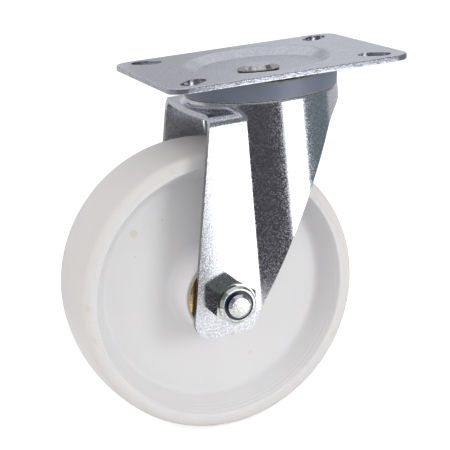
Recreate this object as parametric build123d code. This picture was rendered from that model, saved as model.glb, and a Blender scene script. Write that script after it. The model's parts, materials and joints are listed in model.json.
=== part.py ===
from build123d import *
from math import atan2, cos, hypot, pi, radians, sin, sqrt, tan
import os

# A swivel castor with a pressed fork, a moulded wheel and a bolted-on top plate.
# Millimetres. The origin is where the swivel axis meets the plane of the plate's top face.
# +Z points up into whatever the plate is bolted to, and the wheel trails towards -X.
# The nut is on the -Y side of the fork, and the bolt's head is on the +Y side.

# ---- the castor as a whole
wheel_diameter = 125.0
wheel_gap = 9.8           # from the lower race cup down to the top of the wheel
trail = 32.0              # from the swivel axis back to the axle

# ---- top plate
plate_length = 105.0
plate_width = 80.0
plate_thickness = 2.5
plate_corner_radius = 7.0
plate_edge_round = 0.5
slot_inset_x = 12.5       # from a slot's centre to the plate's edge
slot_inset_y = 10.0
slot_width = 8.4
slot_travel = 5.5         # between a slot's two end centres, along the diagonal
dish_wall_run = 5.0       # how far the dish's wall goes inwards
dish_edge_depth = 3.2     # depth at the foot of the wall
dish_centre_depth = 4.6
dish_inside_head = 1.5    # the dish's rim lies this far inside the fork's round head
dish_press_radius = 2.0

# ---- swivel races
upper_ball_radius = 3.572
upper_ball_count = 20
lower_ball_radius = 2.381
lower_ball_count = 18
race_inside_dish = 1.5    # the ball circle lies this far inside the foot of the dish's wall
race_clearance = 0.12
plate_race_depth = 0.25
fork_race_depth = 0.85
lower_race_depth = 0.5
cup_race_depth = 0.6
cup_thickness = 2.5
cup_lip_width = 2.0
cup_bevel = 0.9           # on the cup's upper corner, and twice that on its lower one
cup_lip_gap = 1.4         # between the cup's lip and the fork above it
cup_to_fork_gap = 1.2     # between the cup's raised middle and the fork's hole
head_in_cup_gap = 0.5     # around the kingpin's head, inside the cup's raised middle
seat_margin = 0.5         # the dish's flat seat is this much wider than the cup's middle
race_to_hole = 0.9        # from the fork's hole out to the lower balls
race_to_lip = 0.8         # from the lower balls out to the cup's lip

# ---- kingpin
kingpin_radius = 5.5
kingpin_head_rim = 2.5    # how far the head stands out past the shank
kingpin_head_height = 5.0
rivet_rim = 0.7           # how far the closed end stands out past the shank
rivet_height = 1.5
setting_ring_radius = 9.0
setting_ring_thickness = 0.8
pin_fit = 0.04            # radial clearance of a shank in its hole

# ---- fork
fork_thickness = 2.5
head_overhang = 5.0       # how far the round head stands out past the flat legs
crown_drop = 3.0          # the flat crown lies this far below the head's top
crown_rear_x = 33.3       # the crown's rear corners, behind the swivel axis
crown_bow = 2.4           # how far the crown's rear edge bows out between them
bend_radius = 2.5         # inside the bend from crown to leg
head_blend = 2.5          # outside radius where the round head runs into the flats
head_edge_round = 1.0
head_skirt = 5.0          # height of the head's wall at the very front
front_sweep = 20.0        # radius from the skirt into the legs' front edges
front_lean = 26.75        # degrees, how much the legs' front edges lean
eye_rear = 14.8           # from the axle back to the leg's rear edge
eye_front = 17.3          # from the axle forward to the leg's front edge
eye_drop = 15.8           # from the axle down to the leg's end
eye_rear_round = 7.0
eye_front_round = 6.0

# ---- dust seal
seal_proud = 0.5          # the seal stands out past the head
seal_taper = 0.7          # and is this much narrower at its foot
seal_wall = 2.2
seal_bevel = 0.4
seal_foot = 1.0           # thickness of the flange that lies on the head
seal_gap = 1.9            # between the seal and the plate
seal_to_balls = 0.6

# ---- wheel
tread_width = 38.0
tread_crown = 2.0         # the tread's edges are this much lower than its middle
shoulder_round = 3.5
rim_lip = 1.9             # width of the rim's flat side face
rim_draft_run = 5.8       # how far the recess wall leans inwards
web_thickness = 15.0
hub_length = 46.0
hub_end_radius = 18.5
hub_draft_run = 0.7
web_fillet = 3.0
hub_edge_chamfer = 1.0

# ---- axle and hub bearing
bolt_radius = 5.0
bolt_chamfer = 1.2
bolt_past_nut = 2.5
wrench_size = 17.0        # across the flats, for the nut and the bolt's head
bolt_head_height = 6.4
nut_height = 10.0
nut_hex_height = 7.6
nut_collar_radius = 7.9
nut_collar_taper = 1.2    # height of the collar's tapered end
nut_collar_draw = 0.9     # and how far it is drawn in there
nut_lip = 0.5             # thickness of the lip that holds the insert
nut_lip_cover = 0.3       # how far the lip covers the insert
nut_turn = 23.0           # degrees, how the nut's corners stand
hex_corner_slope = 0.6    # rise over run where a hexagon's corners are turned off
insert_radius = 6.7
insert_height = 2.2
sleeve_wall = 2.9
sleeve_fit = 0.1          # radial clearance of the bolt in the sleeve and the legs
shield_radius = 17.0
shield_thickness = 1.5
shield_gap = 1.0          # between a shield and the end of the hub
roller_radius = 2.5
roller_count = 9
roller_fit = 0.06         # radial running clearance on each side of a roller
bearing_end_gap = 1.0     # the bearing is this much shorter than the hub at each end
cage_wall = 2.4
cage_fit = 0.15           # between a roller and its pocket
cage_end_ring = 2.5

# ---- worked out from the sizes above
axle_x = -trail
slot_centre_x = plate_length / 2 - slot_inset_x
slot_centre_y = plate_width / 2 - slot_inset_y
leg_inner_y = hub_length / 2 + shield_gap + shield_thickness
leg_outer_y = leg_inner_y + fork_thickness
head_radius = leg_outer_y + head_overhang
dish_rim_radius = head_radius - dish_inside_head
dish_floor_radius = dish_rim_radius - dish_wall_run
upper_race_radius = dish_floor_radius - race_inside_dish
kingpin_head_radius = kingpin_radius + kingpin_head_rim
cup_boss_radius = kingpin_head_radius + head_in_cup_gap + cup_thickness
dish_flat_radius = cup_boss_radius + seat_margin
fork_hole_radius = cup_boss_radius + cup_to_fork_gap
lower_race_radius = fork_hole_radius + race_to_hole + lower_ball_radius
cup_radius = lower_race_radius + lower_ball_radius + race_to_lip + cup_lip_width
sleeve_bore = bolt_radius + sleeve_fit
sleeve_radius = sleeve_bore + sleeve_wall
roller_circle = sleeve_radius + roller_fit + roller_radius
hub_bore = roller_circle + roller_radius + roller_fit
sleeve_length = 2 * (leg_inner_y - shield_thickness)

# The dish's top surface is three straight runs, turned about the swivel axis.
dish_top_line = [
    (0.0, -dish_centre_depth),
    (dish_flat_radius, -dish_centre_depth),
    (dish_floor_radius, -dish_edge_depth),
    (dish_rim_radius, 0.0),
]
floor_slope = atan2(dish_centre_depth - dish_edge_depth, dish_floor_radius - dish_flat_radius)
race_top_z = -dish_edge_depth - race_inside_dish * tan(floor_slope)
race_under_z = race_top_z - plate_thickness / cos(floor_slope)

# The stack of the two ball races, from the dish's underside downwards.
upper_ball_z = race_under_z + plate_race_depth - upper_ball_radius
head_top_z = upper_ball_z - upper_ball_radius - race_clearance + fork_race_depth
head_under_z = head_top_z - fork_thickness
lower_ball_z = head_under_z + lower_race_depth - lower_ball_radius
cup_floor_z = lower_ball_z - lower_ball_radius + cup_race_depth
cup_top_z = -dish_centre_depth - plate_thickness
crown_top_z = head_top_z - crown_drop

# The wheel hangs below the cup, which sets the legs' length and the height of the whole castor.
axle_z = cup_floor_z - cup_thickness - wheel_gap - wheel_diameter / 2
leg_end_z = axle_z - eye_drop
total_height = wheel_diameter / 2 - axle_z


def in_side_plane(sketch):
    """Stand a flat XY sketch up, so that its Y becomes Z."""
    return Plane.XZ * sketch


def turned(points, rounds=None):
    """Turn a closed outline of (radius, height) points about the swivel axis.

    rounds gives a fillet radius for some of the points, by their place in the list.
    """
    face = make_face(Polyline(*points, close=True))
    for index, radius in (rounds or {}).items():
        x, y = points[index]
        corner = face.vertices().sort_by_distance((x, y, 0))[0]
        face = fillet(corner, radius)
    return revolve(in_side_plane(face), Axis.Z)


def along_y(sketch, y_from, y_to):
    """Extrude an XZ outline, drawn in XY, from one Y to another."""
    return Pos(0, y_to, 0) * extrude(in_side_plane(sketch), y_to - y_from)


def on_axle(shape):
    """Move a shape that was turned about Z onto the axle, with its +Z end at -Y."""
    return Pos(axle_x, 0, axle_z) * Rot(90, 0, 0) * shape


def tube(outer, inner, length):
    """A plain tube, centred on the origin."""
    return Cylinder(outer, length) - Cylinder(inner, length)


def race(circle, height, ball_radius):
    """The ring of space that a row of balls runs in."""
    return Pos(0, 0, height) * Torus(circle, ball_radius + race_clearance)


def sheet_below(line, thickness):
    """The lower side of a sheet whose upper side is this line, mitred at each corner."""
    angles = []
    for (r0, z0), (r1, z1) in zip(line, line[1:]):
        angles.append(atan2(z1 - z0, r1 - r0))
    below = [(line[0][0], line[0][1] - thickness / cos(angles[0]))]
    for (r, z), before, after in zip(line[1:], angles, angles[1:]):
        middle = (before + after) / 2
        reach = thickness / cos((after - before) / 2)
        below.append((r + reach * sin(middle), z - reach * cos(middle)))
    return below


def make_top_plate():
    """The plate: one pressing with a dish, four diagonal slots and a coined ball race."""
    outline = RectangleRounded(plate_length, plate_width, plate_corner_radius)
    plate = extrude(outline, -plate_thickness)
    plate = fillet(plate.faces().sort_by(Axis.Z)[-1].outer_wire().edges(), plate_edge_round)
    plate = fillet(plate.faces().sort_by(Axis.Z)[0].outer_wire().edges(), plate_edge_round)

    flat_end = dish_rim_radius + plate_thickness
    top = dish_top_line + [(flat_end, 0.0)]
    under = sheet_below(top, plate_thickness) + [(flat_end, -plate_thickness)]
    outline = top + under[::-1]
    wide = dish_press_radius + plate_thickness
    corners = {2: dish_press_radius, 3: wide, 6: dish_press_radius, 7: wide}
    plate -= Pos(0, 0, -plate_thickness / 2) * Cylinder(flat_end, 2 * plate_thickness)
    plate += turned(outline, corners)

    slot = SlotCenterToCenter(slot_travel, slot_width)
    for side_x in (-1, 1):
        for side_y in (-1, 1):
            place = Pos(side_x * slot_centre_x, side_y * slot_centre_y, 0)
            turn = Rot(0, 0, 45 * side_x * side_y)
            plate -= place * turn * extrude(slot, plate_thickness, both=True)

    hole = Cylinder(kingpin_radius + pin_fit, 4 * dish_centre_depth)
    return plate - hole - race(upper_race_radius, upper_ball_z, upper_ball_radius)


def make_kingpin():
    """The rivet that holds the head together: a round head below and a closed end on top."""
    head_top = cup_top_z - cup_thickness
    head_under = head_top - kingpin_head_height
    shank_top = -dish_centre_depth + setting_ring_thickness
    rivet_radius = kingpin_radius + rivet_rim
    outline = [
        (0.0, head_under),
        (kingpin_head_radius - kingpin_head_rim, head_under),
        (kingpin_head_radius, head_under + kingpin_head_rim),
        (kingpin_head_radius, head_top),
        (kingpin_radius, head_top),
        (kingpin_radius, shank_top),
        (rivet_radius, shank_top),
        (rivet_radius - rivet_rim, shank_top + rivet_height),
        (0.0, shank_top + rivet_height),
    ]
    return turned(outline)


def make_setting_ring():
    """The flat ring under the kingpin's closed end."""
    ring = tube(setting_ring_radius, kingpin_radius + pin_fit, setting_ring_thickness)
    return Pos(0, 0, -dish_centre_depth + setting_ring_thickness / 2) * ring


def make_race_cup():
    """The pressed cup below the fork: its raised middle is riveted up against the dish."""
    boss_inner = cup_boss_radius - cup_thickness
    floor_under = cup_floor_z - cup_thickness
    lip_top = head_under_z - cup_lip_gap
    bore = kingpin_radius + pin_fit
    outline = [
        (bore, cup_top_z),
        (cup_boss_radius - cup_bevel, cup_top_z),
        (cup_boss_radius, cup_top_z - cup_bevel),
        (cup_boss_radius, cup_floor_z),
        (cup_radius - cup_lip_width, cup_floor_z),
        (cup_radius - cup_lip_width, lip_top),
        (cup_radius, lip_top),
        (cup_radius, floor_under + 2 * cup_bevel),
        (cup_radius - 2 * cup_bevel, floor_under),
        (boss_inner, floor_under),
        (boss_inner, cup_top_z - cup_thickness),
        (bore, cup_top_z - cup_thickness),
    ]
    return turned(outline) - race(lower_race_radius, lower_ball_z, lower_ball_radius)


def make_ball(radius):
    """A ball as a solid with 26 flat faces, whose corners all lie on the true sphere."""
    sides = 8
    levels = [radians(angle) for angle in (-67.5, -22.5, 22.5, 67.5)]
    rings = []
    for level in levels:
        flat, height = radius * cos(level), radius * sin(level)
        turns = [2 * pi * i / sides for i in range(sides)]
        rings.append([(flat * cos(a), flat * sin(a), height) for a in turns])
    faces = [Face(Wire.make_polygon(rings[0])), Face(Wire.make_polygon(rings[-1]))]
    for low, high in zip(rings, rings[1:]):
        for i in range(sides):
            j = (i + 1) % sides
            faces.append(Face(Wire.make_polygon([low[i], low[j], high[j], high[i]])))
    return Solid(Shell(faces))


def make_ball_ring(circle, height, radius, count):
    """A full row of separate balls on one circle."""
    ball = make_ball(radius)
    return [Rot(0, 0, 360 * i / count) * Pos(circle, 0, height) * ball for i in range(count)]


def fork_form(inset):
    """The outside of the fork's pressing, or its inside when inset is the sheet's thickness.

    A round head stands on a flat-sided block, and one blend joins them all the way round.
    """
    bottom = leg_end_z - 2 * eye_drop
    back = trail + eye_rear + 2 * eye_drop
    top = crown_top_z - inset
    side = leg_outer_y - inset
    block = Box(back, 2 * side, top - bottom, align=(Align.MAX, Align.CENTER, Align.MAX))
    block = Pos(0, 0, top) * block
    bends = block.edges().filter_by(Axis.X).sort_by(Axis.Z)[-2:]
    block = fillet(bends, bend_radius + fork_thickness - inset)

    head_height = head_top_z - inset - bottom
    head = Cylinder(head_radius - inset, head_height, align=(Align.CENTER, Align.CENTER, Align.MIN))
    form = block + Pos(0, 0, bottom) * head
    # The seam where head and block meet: all of it lies on the head's cylinder.
    seam = [
        edge
        for edge in form.edges()
        if abs(hypot((edge @ 0.5).X, (edge @ 0.5).Y) - head_radius + inset) < 1e-3
        and (edge @ 0.5).X < 0
        and bottom + 1 < (edge @ 0.5).Z < top + 1e-3
    ]
    form = fillet(seam, head_blend + inset)
    if inset == 0:
        rim = form.faces().sort_by(Axis.Z)[-1].edges()
        form = fillet(rim, head_edge_round)
    return form


def leg_outline():
    """The fork seen from the side: what is left of the pressing after its edges are cut."""
    lean = tan(radians(front_lean))
    rear_x = axle_x - eye_rear
    rear_slope = (rear_x + crown_rear_x) / (axle_z - crown_top_z)
    rear_end_x = -crown_rear_x + rear_slope * (leg_end_z - crown_top_z)
    front_end_x = axle_x + eye_front - lean * eye_drop
    skirt_z = head_top_z - head_skirt
    corner_x = front_end_x + lean * (skirt_z - leg_end_z)
    front_x = head_radius + 2 * front_sweep
    above = crown_drop
    points = [
        (-crown_rear_x - rear_slope * -above, crown_top_z + above),
        (rear_end_x, leg_end_z),
        (front_end_x, leg_end_z),
        (corner_x, skirt_z),
        (front_x, skirt_z),
        (front_x, 0.0),
        (-crown_rear_x - rear_slope * -above, 0.0),
    ]
    face = make_face(Polyline(*points, close=True))
    for index, radius in ((1, eye_rear_round), (2, eye_front_round), (3, front_sweep)):
        x, y = points[index]
        face = fillet(face.vertices().sort_by_distance((x, y, 0))[0], radius)
    return face


def make_fork():
    """The fork: one pressed sheet with a round head, a flat crown behind it and two legs."""
    shell = fork_form(0) - fork_form(fork_thickness)
    keep = along_y(leg_outline(), -2 * leg_outer_y, 2 * leg_outer_y)
    half = leg_outer_y
    bow_radius = (half**2 + crown_bow**2) / (2 * crown_bow)
    segment = Pos(-crown_rear_x - crown_bow + bow_radius, 0) * Circle(bow_radius)
    segment &= Pos(-crown_rear_x - crown_bow, 0) * Rectangle(2 * crown_bow, 2 * half)
    bow = Pos(0, 0, crown_top_z - fork_thickness) * extrude(segment, fork_thickness + crown_drop)
    fork = (shell & keep) + (shell & bow)

    # The raceway is pressed down into the head, so a rib follows it underneath.
    rib = Pos(0, 0, upper_ball_z) * Torus(upper_race_radius, upper_ball_radius + fork_thickness)
    rib &= Pos(0, 0, head_top_z) * Cylinder(
        head_radius - fork_thickness, 4 * fork_thickness, align=(Align.CENTER, Align.CENTER, Align.MAX)
    )
    fork += rib
    fork -= Cylinder(fork_hole_radius, 4 * total_height)
    fork -= race(upper_race_radius, upper_ball_z, upper_ball_radius)
    fork -= race(lower_race_radius, lower_ball_z, lower_ball_radius)
    return fork - on_axle(Cylinder(bolt_radius + sleeve_fit, 4 * leg_outer_y))


def make_seal():
    """The dust seal: a ring on the fork's head that closes the gap up to the plate."""
    top = -plate_thickness - seal_gap
    outer = head_radius + seal_proud
    inner = outer - seal_wall
    foot_inner = upper_race_radius + upper_ball_radius + seal_to_balls
    outline = [
        (outer - seal_bevel, top),
        (outer, top - seal_bevel),
        (outer - seal_taper, head_top_z),
        (foot_inner, head_top_z),
        (foot_inner, head_top_z + seal_foot),
        (inner, head_top_z + seal_foot),
        (inner, top),
    ]
    return turned(outline)


def make_wheel():
    """The wheel: one moulding with a crowned tread, a web set in from both sides and a hub."""
    radius = wheel_diameter / 2
    half = tread_width / 2
    web = web_thickness / 2
    hub = hub_length / 2
    edge_radius = radius - tread_crown
    lip_radius = edge_radius - shoulder_round - rim_lip
    points = [
        (hub_bore, hub),
        (hub_end_radius - hub_edge_chamfer, hub),
        (hub_end_radius, hub - hub_edge_chamfer),
        (hub_end_radius + hub_draft_run, web),
        (lip_radius - rim_draft_run, web),
        (lip_radius, half),
        (edge_radius, half),
    ]
    side = points + [(r, -y) for r, y in reversed(points)]
    crown = ThreePointArc((edge_radius, half), (radius, 0), (edge_radius, -half))
    rest = Polyline(*(side[len(points):] + side[: len(points)]))
    face = make_face(rest + crown)
    rounds = [(r, y, web_fillet) for r, y in points[3:5]] + [(*points[6], shoulder_round)]
    for r, y, size in rounds:
        for sign in (1, -1):
            corner = face.vertices().sort_by_distance((r, sign * y, 0))[0]
            face = fillet(corner, size)
    return on_axle(revolve(in_side_plane(face), Axis.Z))


def make_rollers():
    """The hub's rollers, loose in their cage."""
    length = hub_length - 2 * bearing_end_gap - 2 * cage_end_ring
    roller = Cylinder(roller_radius, length)
    turns = [360 * i / roller_count for i in range(roller_count)]
    return [on_axle(Rot(0, 0, a) * Pos(roller_circle, 0, 0) * roller) for a in turns]


def make_roller_cage():
    """The moulded cage: a tube with one open pocket for each roller."""
    length = hub_length - 2 * bearing_end_gap
    cage = tube(roller_circle + cage_wall / 2, roller_circle - cage_wall / 2, length)
    pocket = Cylinder(roller_radius + cage_fit, length - 2 * cage_end_ring + 2 * cage_fit)
    for i in range(roller_count):
        cage -= Rot(0, 0, 360 * i / roller_count) * Pos(roller_circle, 0, 0) * pocket
    return on_axle(cage)


def make_axle_sleeve():
    """The steel tube that the rollers run on, clamped between the two shields."""
    return on_axle(tube(sleeve_radius, sleeve_bore, sleeve_length))


def make_hub_shield(side):
    """A steel disc between a leg and the end of the hub. side is -1 or 1, as on the Y axis."""
    disc = Pos(0, 0, leg_inner_y - shield_thickness / 2) * tube(
        shield_radius, sleeve_bore, shield_thickness
    )
    shield = on_axle(disc)
    return shield if side < 0 else mirror(shield, Plane.XZ)


def hexagon_prism(height):
    """A hexagon that stands on Z = 0, with its corners turned off at the top."""
    prism = extrude(RegularPolygon(wrench_size / 2, 6, major_radius=False), height)
    corner = wrench_size / sqrt(3)
    run = corner - wrench_size / 2
    below = -height
    outline = [
        (0, below),
        (corner, below),
        (corner, height - run * hex_corner_slope),
        (corner - run, height),
        (0, height),
    ]
    return prism & turned(outline)


def make_axle_bolt():
    """The hexagon bolt through legs, shields and sleeve; its thread is left plain."""
    under_head = -leg_outer_y
    end = leg_outer_y + nut_height + bolt_past_nut
    outline = [
        (0.0, under_head),
        (bolt_radius, under_head),
        (bolt_radius, end - bolt_chamfer),
        (bolt_radius - bolt_chamfer, end),
        (0.0, end),
    ]
    head = Pos(0, 0, under_head) * Rot(180, 0, 0) * hexagon_prism(bolt_head_height)
    return on_axle(turned(outline) + head)


def make_lock_nut():
    """The lock nut: a hexagon with a round collar that grips the plastic insert."""
    nut = hexagon_prism(nut_hex_height)
    collar = [
        (0.0, nut_hex_height / 2),
        (nut_collar_radius, nut_hex_height / 2),
        (nut_collar_radius, nut_height - nut_collar_taper),
        (nut_collar_radius - nut_collar_draw, nut_height),
        (0.0, nut_height),
    ]
    nut += turned(collar)
    nut -= Cylinder(bolt_radius + pin_fit, 4 * nut_height)
    seat = Cylinder(insert_radius, insert_height, align=(Align.CENTER, Align.CENTER, Align.MAX))
    nut -= Pos(0, 0, nut_height - nut_lip) * seat
    nut -= Pos(0, 0, nut_height) * Cylinder(insert_radius - nut_lip_cover, 4 * nut_lip)
    return on_axle(Pos(0, 0, leg_outer_y) * Rot(0, 0, nut_turn) * nut)


def make_nut_insert():
    """The plastic ring inside the nut's collar."""
    ring = tube(insert_radius, bolt_radius + pin_fit, insert_height)
    return on_axle(Pos(0, 0, leg_outer_y + nut_height - nut_lip - insert_height / 2) * ring)


nodes = {
    "top_plate": make_top_plate(),
    "kingpin": make_kingpin(),
    "kingpin_setting_ring": make_setting_ring(),
    "lower_race_cup": make_race_cup(),
    "upper_ball_ring": make_ball_ring(
        upper_race_radius, upper_ball_z, upper_ball_radius, upper_ball_count
    ),
    "lower_ball_ring": make_ball_ring(
        lower_race_radius, lower_ball_z, lower_ball_radius, lower_ball_count
    ),
    "fork": make_fork(),
    "dust_seal": make_seal(),
    "wheel": make_wheel(),
    "bearing_rollers": make_rollers(),
    "roller_cage": make_roller_cage(),
    "axle_sleeve": make_axle_sleeve(),
    "hub_shield_near": make_hub_shield(-1),
    "hub_shield_far": make_hub_shield(1),
    "axle_bolt": make_axle_bolt(),
    "lock_nut": make_lock_nut(),
    "lock_nut_insert": make_nut_insert(),
}

os.makedirs("parts", exist_ok=True)
for name, shape in nodes.items():
    whole = Compound(children=shape) if isinstance(shape, list) else shape
    export_step(whole, f"parts/{name}.step")
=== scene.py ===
# %% [markdown]
# # A swivel castor, dressed
#
# The castor arrives as a fixed frame: every part already has its true size and place, in metres.
# The origin is where the swivel axis meets the mounting face, +Z points up into the furniture,
# the wheel trails towards -X, and the lock nut is on the -Y side. This lesson only adds looks:
# finishes made of nodes, smooth balls for the two races, light, and a camera.

# %% Load the frame
import json
from math import cos, pi, radians, sin

import bmesh
import bpy
from mathutils import Matrix, Vector


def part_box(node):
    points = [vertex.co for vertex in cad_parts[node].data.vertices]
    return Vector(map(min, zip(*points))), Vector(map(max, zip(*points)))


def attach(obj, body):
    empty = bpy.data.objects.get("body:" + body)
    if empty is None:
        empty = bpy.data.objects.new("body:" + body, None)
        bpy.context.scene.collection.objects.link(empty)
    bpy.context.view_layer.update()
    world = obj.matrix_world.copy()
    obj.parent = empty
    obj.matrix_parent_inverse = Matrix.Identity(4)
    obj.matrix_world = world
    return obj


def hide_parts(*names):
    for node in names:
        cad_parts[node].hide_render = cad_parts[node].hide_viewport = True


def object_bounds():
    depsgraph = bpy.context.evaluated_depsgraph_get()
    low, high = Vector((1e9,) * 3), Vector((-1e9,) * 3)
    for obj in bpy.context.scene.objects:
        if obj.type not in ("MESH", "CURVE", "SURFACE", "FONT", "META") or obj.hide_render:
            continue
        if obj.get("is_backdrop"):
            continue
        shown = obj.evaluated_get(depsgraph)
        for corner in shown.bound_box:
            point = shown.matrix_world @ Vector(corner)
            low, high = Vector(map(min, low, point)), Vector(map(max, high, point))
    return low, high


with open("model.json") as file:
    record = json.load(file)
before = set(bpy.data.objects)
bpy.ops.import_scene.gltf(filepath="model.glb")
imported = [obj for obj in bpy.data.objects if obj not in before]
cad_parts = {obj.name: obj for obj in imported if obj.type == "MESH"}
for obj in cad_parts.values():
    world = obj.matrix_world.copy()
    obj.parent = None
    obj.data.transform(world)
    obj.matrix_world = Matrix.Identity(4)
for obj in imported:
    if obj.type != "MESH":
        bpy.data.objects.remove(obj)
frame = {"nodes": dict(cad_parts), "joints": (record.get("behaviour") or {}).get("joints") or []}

cad_low, cad_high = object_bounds()
nodes = frame["nodes"]
print("parts:", ", ".join(sorted(nodes)))
print("size in mm:", [round(1000 * side, 1) for side in cad_high - cad_low])

# %% [markdown]
# ## Measures
#
# The finishes need a few places on the castor: the axle, the wheel's radii, the sheet's thickness.
# They could be typed in, but then they would be wrong as soon as a part changed. So they are read
# from the boxes of the parts, and from the joints, and only turned into millimetres.

# %% Measures taken from the frame, in millimetres
MM = 0.001


def box_mm(node):
    """A part's lowest and highest corner, in millimetres."""
    low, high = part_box(node)
    return low / MM, high / MM


joints = {joint["name"]: joint for joint in frame["joints"]}
axle = Vector(joints["wheel_spin"]["pos_m"]) / MM
plate_high = box_mm("top_plate")[1]
fork_high = box_mm("fork")[1]
wheel_low, wheel_high = box_mm("wheel")
seal_low, seal_high = box_mm("dust_seal")
shield_low = box_mm("hub_shield_near")[0]
nut_high = box_mm("lock_nut")[1]

wheel_radius = (wheel_high.z - wheel_low.z) / 2
head_radius = fork_high.y
leg_inner = -shield_low.y
leg_outer = -nut_high.y
sheet = leg_outer - leg_inner
floor_z = wheel_low.z * MM
print("axle at", [round(value, 2) for value in axle], "wheel radius", round(wheel_radius, 2))
print("head radius", round(head_radius, 2), "sheet", round(sheet, 2))

# %% [markdown]
# ## Shader maths as Python
#
# A finish is a tree of nodes. Wiring each node by hand hides the idea behind dozens of lines, so one
# small class stands for a socket. Python's operators on it add Math nodes, and `make` adds any other
# node: its settings first, because they decide which sockets exist, and then its inputs.

# %% One class for sockets
class Socket:
    """An output in a shader tree. Arithmetic on it adds the Math nodes that it stands for."""

    def __init__(self, tree, output=None):
        self.tree = tree
        self.output = output

    def make(self, kind, settings=None, inputs=None, output=0):
        """Add a node. Its settings come first, and then the values or links of its sockets."""
        node = self.tree.nodes.new("ShaderNode" + kind)
        for name, value in (settings or {}).items():
            setattr(node, name, value)
        for name, value in (inputs or {}).items():
            if isinstance(value, Socket):
                self.tree.links.new(value.output, node.inputs[name])
            else:
                node.inputs[name].default_value = value
        return Socket(self.tree, node.outputs[output]) if len(node.outputs) else node

    def maths(self, operation, *values):
        return self.make("Math", {"operation": operation}, dict(enumerate(values)))

    def __add__(self, other):
        return self.maths("ADD", self, other)

    def __radd__(self, other):
        return self.maths("ADD", other, self)

    def __sub__(self, other):
        return self.maths("SUBTRACT", self, other)

    def __rsub__(self, other):
        return self.maths("SUBTRACT", other, self)

    def __mul__(self, other):
        return self.maths("MULTIPLY", self, other)

    def __rmul__(self, other):
        return self.maths("MULTIPLY", other, self)

    def __pow__(self, other):
        return self.maths("POWER", self, other)

    def __abs__(self):
        return self.maths("ABSOLUTE", self)


# %% [markdown]
# ## Words for the finishes
#
# Every finish here needs the same few things: where a point is on the part, a soft step from 0 to 1,
# noise of a known size, and a blend of two colours. Named helpers keep the recipes short. Distances are
# in millimetres, so that a noise of size 0.6 has blotches about 0.6 mm across.

# %% Helpers
class Place:
    """Where a point lies on its part, in millimetres."""

    def __init__(self, tree):
        self.tree = Socket(tree)
        coordinates = self.tree.make("TexCoord", output=3)
        self.point = self.tree.make(
            "VectorMath", {"operation": "SCALE"}, {0: coordinates, "Scale": 1 / MM}
        )
        self.x, self.y, self.z = self.split(self.point)

    def split(self, vector):
        node = self.tree.make("SeparateXYZ", None, {0: vector}).output.node
        return [Socket(self.tree.tree, output) for output in node.outputs]

    def step(self, value, start, end):
        """0 before start, 1 after end, and smooth between. It falls where start is above end."""
        if start > end:
            return 1 - self.step(value, end, start)
        return self.tree.make(
            "MapRange",
            {"interpolation_type": "SMOOTHSTEP"},
            {"Value": value, "From Min": start, "From Max": end},
        )

    def band(self, value, low, high, soft):
        """1 between low and high, with soft edges outside them."""
        return self.step(value, low - soft, low) * self.step(value, high + soft, high)

    def noise(self, size, detail=2.0, stretch=(1, 1, 1), seed=0.0):
        """Noise from 0 to 1, with blotches of this size. Stretch makes them longer that way."""
        scale = [1 / (size * longer) for longer in stretch]
        grid = self.tree.make(
            "Mapping", None, {"Vector": self.point, "Scale": scale, "Location": (seed, seed, seed)}
        )
        return self.tree.make("TexNoise", None, {"Vector": grid, "Scale": 1.0, "Detail": detail})

    def cells(self, size, seed=0.0, output=1):
        """The random colour of each grain of a pattern of cells of this size."""
        grid = self.tree.make(
            "Mapping", None, {"Vector": self.point, "Scale": [1 / size] * 3, "Location": [seed] * 3}
        )
        return self.tree.make("TexVoronoi", None, {"Vector": grid, "Scale": 1.0}, output)

    def mix(self, amount, first, second):
        """Blend two colours: the first where amount is 0 and the second where it is 1."""
        return self.tree.make(
            "Mix", {"data_type": "RGBA"}, {0: amount, 6: colour(first), 7: colour(second)}, 2
        )

    def from_axis(self, along, centre):
        """Distance from a line through centre, along "Y" or "Z"."""
        across, up = (self.x, self.z) if along == "Y" else (self.x, self.y)
        a, b = (centre.x, centre.z) if along == "Y" else (centre.x, centre.y)
        return ((across - a) ** 2 + (up - b) ** 2) ** 0.5

    def bump(self, height, distance):
        """Turn a height into a surface normal. A height of 1 is this distance, in metres."""
        return self.tree.make("Bump", None, {"Strength": 1.0, "Distance": distance, "Height": height})


def colour(value):
    """A colour as the nodes want it: a socket as it is, and three numbers with an alpha."""
    return value if isinstance(value, Socket) else (*value, 1.0)


def new_material(name):
    """An empty material and the Place to build its finish from."""
    material = bpy.data.materials.new(name)
    material.use_nodes = True
    material.node_tree.nodes.clear()
    return material, Place(material.node_tree)


def surface(place, **inputs):
    """End a finish: one Principled shader with these inputs, wired to the output."""
    named = {name.replace("_", " "): value for name, value in inputs.items()}
    shader = place.tree.make("BsdfPrincipled", None, named)
    place.tree.make("OutputMaterial", None, {"Surface": shader})


def dress(material, *names):
    """Put a finish on parts of the frame, in place of their plain one."""
    for name in names:
        slots = nodes[name].material_slots
        if not len(slots):
            nodes[name].data.materials.append(material)
        for slot in slots:
            slot.material = material
    print(material.name, "on", ", ".join(names))


# %% [markdown]
# ## Zinc plating
#
# The plate, fork, nut and bolt are steel with a bright zinc coat. Zinc plates as tiny crystals, so the
# surface mirrors softly and sparkles where a reflection ends: each grain tips the light a little.
# A plain metal with some roughness looks like dull paint, so the grain is a bump. Two sizes of noise
# make it, with long faint lines from the rolling of the sheet. The crystals also differ in tone, and
# some are duller than their neighbours, which gives the specks where a reflection is dark.

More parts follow.
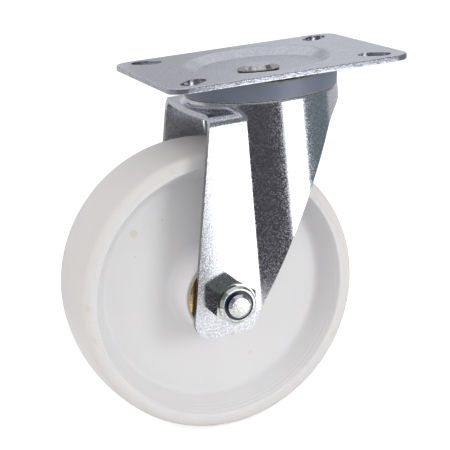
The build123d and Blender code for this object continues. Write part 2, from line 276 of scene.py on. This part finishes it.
# %% The zinc recipe
def zinc_parts(place, tone, grain=1.0, drawn=(1, 1, 18), mottle=0.12):
    """Colour, roughness and height of a zinc coat. drawn is the way that the rolling lines run."""
    fine = place.noise(0.28, 2.0, seed=3.1)
    coarse = place.noise(1.1, 3.0, seed=7.7)
    cloud = place.noise(9.0, 3.0, seed=1.3)
    lines = place.noise(0.5, 2.0, drawn, seed=5.2)
    crystal = place.split(place.cells(0.45, 2.6))[0]
    dark = [value * (1 - mottle * 2.2) for value in tone]
    light = [min(1.0, value * (1 + mottle)) for value in tone]
    shade = crystal * 0.45 + coarse * 0.35 + cloud * 0.2
    tint = place.mix(place.step(shade, 0.25, 0.75), dark, light)
    dull = place.step(place.split(place.cells(0.3, 6.4))[0], 0.72, 0.9)
    rough = 0.09 + 0.06 * cloud + dull * (0.2 * grain)
    height = fine * (1.1 * grain) + coarse * (0.45 * grain) + lines * (0.4 * grain)
    return tint, rough, height


# %% Zinc on the fork, with its blanked edges
def fork_finish():
    """Bright zinc on the sheet's faces, duller zinc with shear marks on its cut edges, and a painted
    shadow line along them.
    """
    material, at = new_material("bright_zinc_fork")
    tint, rough, height = zinc_parts(at, (0.64, 0.65, 0.69), grain=1.0)

    blend_rear_x, blend_front_x = -18.5, -15.5
    bend_height = 9.0
    edge_margin = 0.22

    # How deep a point is inside the sheet: 0 on the outer face and the sheet's thickness on the inner.
    turn = at.from_axis("Z", Vector((0, 0, 0)))
    leg_depth = leg_outer - abs(at.y)
    head_depth = head_radius - turn
    on_head = at.step(abs(at.y), leg_outer + 0.02, leg_outer + 0.3)
    in_front = at.step(at.x, blend_rear_x, blend_front_x)
    skirt = at.tree.maths("MAXIMUM", on_head, in_front)
    depth = skirt * head_depth + (1 - skirt) * leg_depth
    below_bend = at.step(at.z, fork_high.z - bend_height + 0.5, fork_high.z - bend_height - 0.5)
    cut = at.band(depth, edge_margin, sheet - edge_margin, 0.12) * below_bend
    # Painted shade: a thin near-black line along the outer side of each cut edge stands in for the shadow
    # that a rolled burr casts on the edge.
    painted_edge_shadow = at.band(depth, 0.1, 0.25, 0.1) * below_bend
    shear = at.noise(0.35, 2.0, (1, 6, 1), seed=9.4)
    tint = at.mix(cut, tint, (0.34, 0.315, 0.32))
    # The painted shadow line goes on here, over the cut edge's colour.
    tint = at.mix(painted_edge_shadow * 0.9, tint, (0.04, 0.04, 0.045))
    rough = rough + cut * 0.22
    height = height + cut * shear * 1.6

    # A washer turned against the near leg when the nut was driven, and left a faint ring.
    washer_radius = 12.6
    spin = at.from_axis("Y", axle)
    ring = at.band(spin, washer_radius, washer_radius + 0.15, 0.2)
    ring = ring * at.step(at.x, axle.x + 2, axle.x + 7)
    ring = ring * at.step(at.z, axle.z - 2, axle.z + 4) * at.step(at.y, 0, -1)
    tint = at.mix(ring * 0.55, tint, (0.2, 0.2, 0.21))
    height = height - ring * 0.8

    surface(at, Base_Color=tint, Metallic=1.0, Roughness=rough, Normal=at.bump(height, 0.000012))
    return material


dress(fork_finish(), "fork")

# %% [markdown]
# The plate is the same sheet with the same coat, but a press has squeezed its dish, and its edge was
# sheared and tumbled, so the edge is pitted and glints. It gets the zinc recipe again, a rougher edge,
# and a film of handling that dulls the flat top.

# %% Zinc on the plate
def plate_finish():
    material, at = new_material("satin_zinc_plate")
    tint, rough, height = zinc_parts(
        at, (0.52, 0.53, 0.595), grain=0.6, drawn=(22, 1, 1), mottle=0.07
    )
    edge_from, edge_to = 0.45, 0.1
    out_x = at.step(abs(at.x), plate_high.x - edge_from, plate_high.x - edge_to)
    out_y = at.step(abs(at.y), plate_high.y - edge_from, plate_high.y - edge_to)
    edge = at.tree.maths("MAXIMUM", out_x, out_y)
    pits = at.noise(0.7, 3.0, (2.5, 1, 1), seed=4.4)
    pitted = edge * at.step(pits, 0.5, 0.62)
    worn = at.noise(14.0, 4.0, seed=8.8)
    tint = at.mix(pitted * 0.5, tint, (0.2, 0.21, 0.24))
    tint = at.mix(at.step(worn, 0.5, 0.75) * 0.25, tint, (0.40, 0.40, 0.42))
    rough = rough + 0.1 + pitted * 0.2
    height = height + edge * pits * 3.0
    surface(at, Base_Color=tint, Metallic=1.0, Roughness=rough, Normal=at.bump(height, 0.000012))
    return material


dress(plate_finish(), "top_plate", "lower_race_cup")

# %% [markdown]
# ## Fasteners
#
# The nut and bolt are turned and forged, so their coat is smoother and their faces carry tool marks that
# run round the axle. The same zinc recipe is used with little grain, and rings by distance from the axle.

# %% Nut, bolt and the other steel
def fastener_finish(name, tone, rings=0.5, centre=axle, along="Y"):
    """Plated steel with faint rings around its own axis."""
    material, at = new_material(name)
    tint, rough, height = zinc_parts(at, tone, grain=0.35, mottle=0.14)
    spin = at.from_axis(along, centre)
    turned = at.tree.maths("SINE", spin * 22.0)
    smear = at.noise(2.2, 3.0, seed=6.1)
    tint = at.mix(at.step(smear, 0.52, 0.7) * 0.35, tint, [value * 0.55 for value in tone])
    height = height + turned * (0.08 * rings)
    normal = at.bump(height, 0.000012)
    surface(at, Base_Color=tint, Metallic=1.0, Roughness=rough - 0.04, Normal=normal)
    return material


swivel_axis = Vector((0, 0, 0))
dress(fastener_finish("plated_fastener", (0.55, 0.56, 0.55)), "axle_bolt", "lock_nut")
dress(fastener_finish("rivet_steel", (0.52, 0.52, 0.52), 1.0, swivel_axis, "Z"), "kingpin")
dress(fastener_finish("browned_ring", (0.13, 0.11, 0.085), 0.3, swivel_axis, "Z"), "kingpin_setting_ring")
dress(fastener_finish("sleeve_tube", (0.55, 0.55, 0.56), 0.4), "axle_sleeve")
dress(fastener_finish("yellow_zinc", (0.60, 0.47, 0.23), 0.6), "hub_shield_near", "hub_shield_far")

# %% [markdown]
# ## White nylon
#
# The wheel is one moulding of nylon. Nylon lets some light in and scatters it, which softens shadows
# in the recess, and it picks up a warm grey from the floor. The moulding shows fine rings at the lip, a
# few round marks where pins pushed it out of the mould, and stains on the tread.

# %% The wheel's finish
def pin_mark(at, angle, distance, radius):
    """A disc on the near web, by its angle and distance from the axle."""
    x = axle.x + distance * cos(radians(angle))
    z = axle.z + distance * sin(radians(angle))
    away = ((at.x - x) ** 2 + (at.z - z) ** 2) ** 0.5
    return at.step(away, radius, radius - 0.5) * at.step(at.y, 0, -1)


def nylon_finish():
    material, at = new_material("white_nylon")
    spin = at.from_axis("Y", axle)
    across = abs(at.y)
    half = wheel_high.y
    cloud = at.noise(16.0, 3.0, seed=2.2)
    fine = at.noise(0.8, 3.0, seed=4.1)
    tread = at.step(spin, wheel_radius - 6.5, wheel_radius - 3.5)
    tint = at.mix(cloud, (0.80, 0.79, 0.80), (0.84, 0.83, 0.835))
    tint = at.mix(tread * 0.8, tint, (0.77, 0.735, 0.715))

    # Scuffs run round the tread, and a few of them are yellow.
    scuff = at.noise(2.4, 3.0, (3, 0.6, 3), seed=6.6)
    tint = at.mix(tread * at.step(scuff, 0.62, 0.74) * 0.35, tint, (0.66, 0.58, 0.46))
    dirt = at.noise(0.5, 1.0, seed=8.2)
    tint = at.mix(at.step(dirt, 0.80, 0.84) * 0.4, tint, (0.35, 0.31, 0.28))

    marks = pin_mark(at, 138.2, 43.8, 1.9) * 0.6 + pin_mark(at, -66.9, 37.3, 1.1) * 0.4
    marks = marks + pin_mark(at, 149.9, 38.2, 0.8) * 0.5 + pin_mark(at, 120.9, 38.3, 0.7) * 0.8
    tint = at.mix(marks, tint, (0.72, 0.64, 0.5))

    # Rings from the mould's turning, close together near the lip.
    lip = at.band(spin, wheel_radius - 9.5, wheel_radius - 5.0, 0.8)
    rings = at.tree.maths("SINE", spin * 7.5)
    height = fine * 0.35 + lip * rings * 3.0 + tread * scuff * 1.2
    rough = 0.36 + 0.1 * cloud + 0.08 * tread
    surface(
        at,
        Base_Color=tint,
        Roughness=rough,
        Normal=at.bump(height, 0.00002),
        Subsurface_Weight=0.35,
        Subsurface_Radius=(0.004, 0.0035, 0.003),
        Subsurface_Scale=1.0,
        IOR=1.53,
    )
    return material


dress(nylon_finish(), "wheel")

# %% [markdown]
# ## Seal, insert and cage
#
# Three small plastics. The dust seal is a blue-grey moulding with a thin line of yellowed grease at its
# upper and lower edges. The nut's insert is navy and shiny. The cage is plain and hardly seen.

# %% Plastic finishes
def seal_finish():
    material, at = new_material("blue_grey_seal")
    cloud = at.noise(7.0, 3.0, seed=3.3)
    fine = at.noise(0.5, 2.0, seed=5.9)
    tint = at.mix(cloud, (0.150, 0.170, 0.225), (0.185, 0.205, 0.265))
    top = at.band(at.z, seal_high.z - 0.35, seal_high.z + 0.5, 0.12)
    foot = at.step(at.z, seal_low.z + 0.38, seal_low.z + 0.22)
    blotch = at.step(at.noise(2.0, 3.0, seed=1.9), 0.35, 0.6)
    tint = at.mix(at.tree.maths("MAXIMUM", top, foot) * blotch * 0.8, tint, (0.42, 0.36, 0.16))
    surface(at, Base_Color=tint, Roughness=0.34 + 0.1 * cloud, Normal=at.bump(fine, 0.00001))
    return material


def plastic_finish(name, first, second, roughness):
    """A moulded plastic between two close colours."""
    material, at = new_material(name)
    cloud = at.noise(3.0, 3.0, seed=2.4)
    fine = at.noise(0.4, 2.0, seed=7.1)
    surface(
        at,
        Base_Color=at.mix(cloud, first, second),
        Roughness=roughness + 0.08 * fine,
        Normal=at.bump(fine, 0.00001),
    )
    return material


dress(seal_finish(), "dust_seal")
navy_tones = ((0.010, 0.022, 0.060), (0.018, 0.035, 0.085))
natural_tones = ((0.70, 0.66, 0.55), (0.76, 0.72, 0.62))
dress(plastic_finish("navy_insert", *navy_tones, 0.2), "lock_nut_insert")
dress(plastic_finish("natural_cage", *natural_tones, 0.45), "roller_cage")
dress(fastener_finish("bearing_steel", (0.66, 0.66, 0.67), 0.2), "bearing_rollers")

# %% [markdown]
# ## Round balls
#
# The frame's balls have flat faces, which is enough for a race that turns in a simulation. Real balls
# are polished spheres, so each ring is made again from smooth spheres. They stand for the frame's own
# rings, and turn with the same bodies. A flat-faced ball reaches less far out and up than its sphere,
# by the cosine of 22.5 degrees. The radius allows for that. The circle doesn't, so it is 0.2 to 0.3 mm
# smaller than the frame's.

# %% Polished balls
FLAT_BALL_REACH = cos(radians(22.5))


def ball_ring(name, node, body, count):
    """Smooth spheres in place of a ring of balls, sized and placed by the ring's own box."""
    low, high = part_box(node)
    radius = (high.z - low.z) / 2 / FLAT_BALL_REACH
    circle = high.x - radius
    mesh = bpy.data.meshes.new(name)
    form = bmesh.new()
    for index in range(count):
        turn = 2 * pi * index / count
        place = Matrix.Translation((circle * cos(turn), circle * sin(turn), (low.z + high.z) / 2))
        bmesh.ops.create_icosphere(form, subdivisions=3, radius=radius * 0.995, matrix=place)
    for face in form.faces:
        face.smooth = True
    form.to_mesh(mesh)
    form.free()
    ring = bpy.data.objects.new(name, mesh)
    bpy.context.scene.collection.objects.link(ring)
    mesh.materials.append(polished)
    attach(ring, body)
    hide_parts(node)
    print(name, "balls", count, "radius mm", round(radius / MM, 3), "circle mm", round(circle / MM, 2))


polished = fastener_finish("polished_balls", (0.72, 0.72, 0.73), 0.0)
ball_ring("upper_balls_polished", "upper_ball_ring", "upper_balls", 20)
ball_ring("lower_balls_polished", "lower_ball_ring", "lower_balls", 18)

# %% [markdown]
# ## Floor and light
#
# A pale floor catches a soft shadow. It is white to the camera and in reflections because a little glow
# is added for those rays only, and not because the castor is lit harder. The world works the same way:
# plain white behind, and a softer level for the light that falls on the castor.

# %% World, floor and lamps
def seen_directly(socket):
    """1 for rays from the camera, in reflections or through glass, and 0 for light on a surface."""
    path = socket.make("LightPath").output.node
    kinds = [Socket(socket.tree, path.outputs[name]) for name in
             ("Is Camera Ray", "Is Glossy Ray", "Is Transmission Ray")]
    return kinds[0].maths("MAXIMUM", kinds[0].maths("MAXIMUM", kinds[0], kinds[1]), kinds[2])


def make_world(ambient):
    world = bpy.data.worlds.new("white_room")
    bpy.context.scene.world = world
    world.use_nodes = True
    world.node_tree.nodes.clear()
    base = Socket(world.node_tree)
    direct = seen_directly(base)
    strength = direct * (1 - ambient) + ambient
    light = base.make("Background", None, {"Color": (1, 1, 1, 1), "Strength": strength})
    base.make("OutputWorld", None, {"Surface": light})


def make_floor(size, tone, glow):
    mesh = bpy.data.meshes.new("floor")
    half = size / 2
    corners = [(-half, -half), (half, -half), (half, half), (-half, half)]
    mesh.from_pydata([(x, y, floor_z) for x, y in corners], [], [(0, 1, 2, 3)])
    floor = bpy.data.objects.new("floor", mesh)
    bpy.context.scene.collection.objects.link(floor)
    material = bpy.data.materials.new("pale_floor")
    material.use_nodes = True
    material.node_tree.nodes.clear()
    base = Socket(material.node_tree)
    matt = base.make("BsdfDiffuse", None, {"Color": (tone, tone, tone, 1)})
    shine = base.make("Emission", None, {"Strength": seen_directly(base) * glow})
    both = base.make("AddShader", None, {0: matt, 1: shine})
    base.make("OutputMaterial", None, {"Surface": both})
    mesh.materials.append(material)
    floor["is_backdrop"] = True


def soft_lamp(name, azimuth, elevation, distance, size, power):
    """A square soft lamp that looks at the castor's middle."""
    middle = (cad_low + cad_high) / 2
    a, e = radians(azimuth), radians(elevation)
    out = Vector((sin(a) * cos(e), -cos(a) * cos(e), sin(e)))
    data = bpy.data.lights.new(name, "AREA")
    data.size = size
    data.energy = power
    lamp = bpy.data.objects.new(name, data)
    lamp.location = middle + out * distance
    lamp.rotation_euler = out.to_track_quat("Z", "Y").to_euler()
    bpy.context.scene.collection.objects.link(lamp)
    lamp.visible_glossy = False


make_world(0.68)
make_floor(12.0, 0.82, 0.62)
soft_lamp("key", azimuth=30, elevation=14, distance=0.9, size=0.35, power=2.1)
soft_lamp("fill", azimuth=-70, elevation=20, distance=1.3, size=0.9, power=3.0)

# %% [markdown]
# ## Cards round the castor
#
# Bright zinc shows only what stands round it. In an empty white room it would look like grey paint, so
# a photographer sets up white and black cards just out of the picture. Here one open ring of card does
# that. It is seen only in reflections: it casts no shadow and adds no light to the nylon.

# %% The ring of cards
def make_cards(radius, low, high):
    """An upright ring round the swivel axis whose glow changes round it and with height."""
    mesh = bpy.data.meshes.new("cards")
    steps = 72
    points = []
    faces = []
    for index in range(steps):
        turn = 2 * pi * index / steps
        for height in (low, high):
            points.append((radius * cos(turn), radius * sin(turn), height))
        nxt = (index + 1) % steps
        faces.append((2 * index, 2 * nxt, 2 * nxt + 1, 2 * index + 1))
    mesh.from_pydata(points, [], faces)
    cards = bpy.data.objects.new("cards", mesh)
    bpy.context.scene.collection.objects.link(cards)
    material, at = new_material("studio_cards")
    # Degrees round from -Y, growing towards +X, as for the lamps.
    angle = at.tree.maths("ARCTAN2", at.x, 0 - at.y) * (180 / pi)
    white = at.band(angle, 8, 35, 2.5)
    dark = at.step(angle, -62, -50) * at.step(angle, 7.5, 4)
    green = at.band(angle, 36, 84, 3.0)
    low_part = at.step(at.z, -28, -40)
    tone = at.mix(green, (0.62, 0.62, 0.64), (0.20, 0.25, 0.27))
    tone = at.mix(dark, tone, (0.095, 0.09, 0.1))
    tone = at.mix(white, tone, (3.4, 3.4, 3.45))
    behind = at.mix(at.step(angle, 152, 172), (0.74, 0.75, 0.79), (0.54, 0.54, 0.57))
    above = at.mix(at.step(abs(angle), 95, 120), (0.26, 0.28, 0.28), behind)
    tone = at.mix(low_part, above, tone)
    glow = at.tree.make("Emission", None, {"Color": tone, "Strength": 1.0})
    at.tree.make("OutputMaterial", None, {"Surface": glow})
    mesh.materials.append(material)
    cards.visible_camera = False
    cards.visible_diffuse = False
    cards.visible_shadow = False
    cards.visible_transmission = False
    cards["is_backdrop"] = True


make_cards(0.2, floor_z, 0.12)

# %% [markdown]
# ## Camera
#
# The view is from the near left, a little above the plate, with a long lens that keeps the sides of the
# plate almost parallel. The camera is rolled a few degrees, so the castor leans in the frame.

# %% The camera
def aim_camera(target, azimuth, elevation, roll, distance, lens):
    a, e, r = radians(azimuth), radians(elevation), radians(roll)
    back = Vector((sin(a) * cos(e), -cos(a) * cos(e), sin(e)))
    right = (-back).cross(Vector((0, 0, 1))).normalized()
    up = right.cross(-back)
    side = right * cos(r) + up * sin(r)
    top = up * cos(r) - right * sin(r)
    data = bpy.data.cameras.new("camera")
    data.lens = lens
    data.sensor_width = 36
    camera = bpy.data.objects.new("camera", data)
    bpy.context.scene.collection.objects.link(camera)
    turn = Matrix((side, top, back)).transposed().to_4x4()
    camera.matrix_world = Matrix.Translation(target + back * distance) @ turn
    bpy.context.scene.camera = camera
    print("camera at mm", [round(value / MM, 1) for value in camera.location])


aim_camera(
    target=Vector((-0.0213, 0, -0.0698)),
    azimuth=-19.75,
    elevation=16.4,
    roll=-5.12,
    distance=0.593,
    lens=109.5,
)
bpy.context.scene.view_settings.view_transform = "Standard"

# %% [markdown]
# ## Hand over
#
# The dressed castor must stay inside the frame's box, so how far it grows past that box on each side is
# written out.

# %% Sizes, and the end
new_low, new_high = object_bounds()
grows = (*(cad_low - new_low), *(new_high - cad_high))
print("grows by mm:", [round(1000 * value, 3) for value in grows])
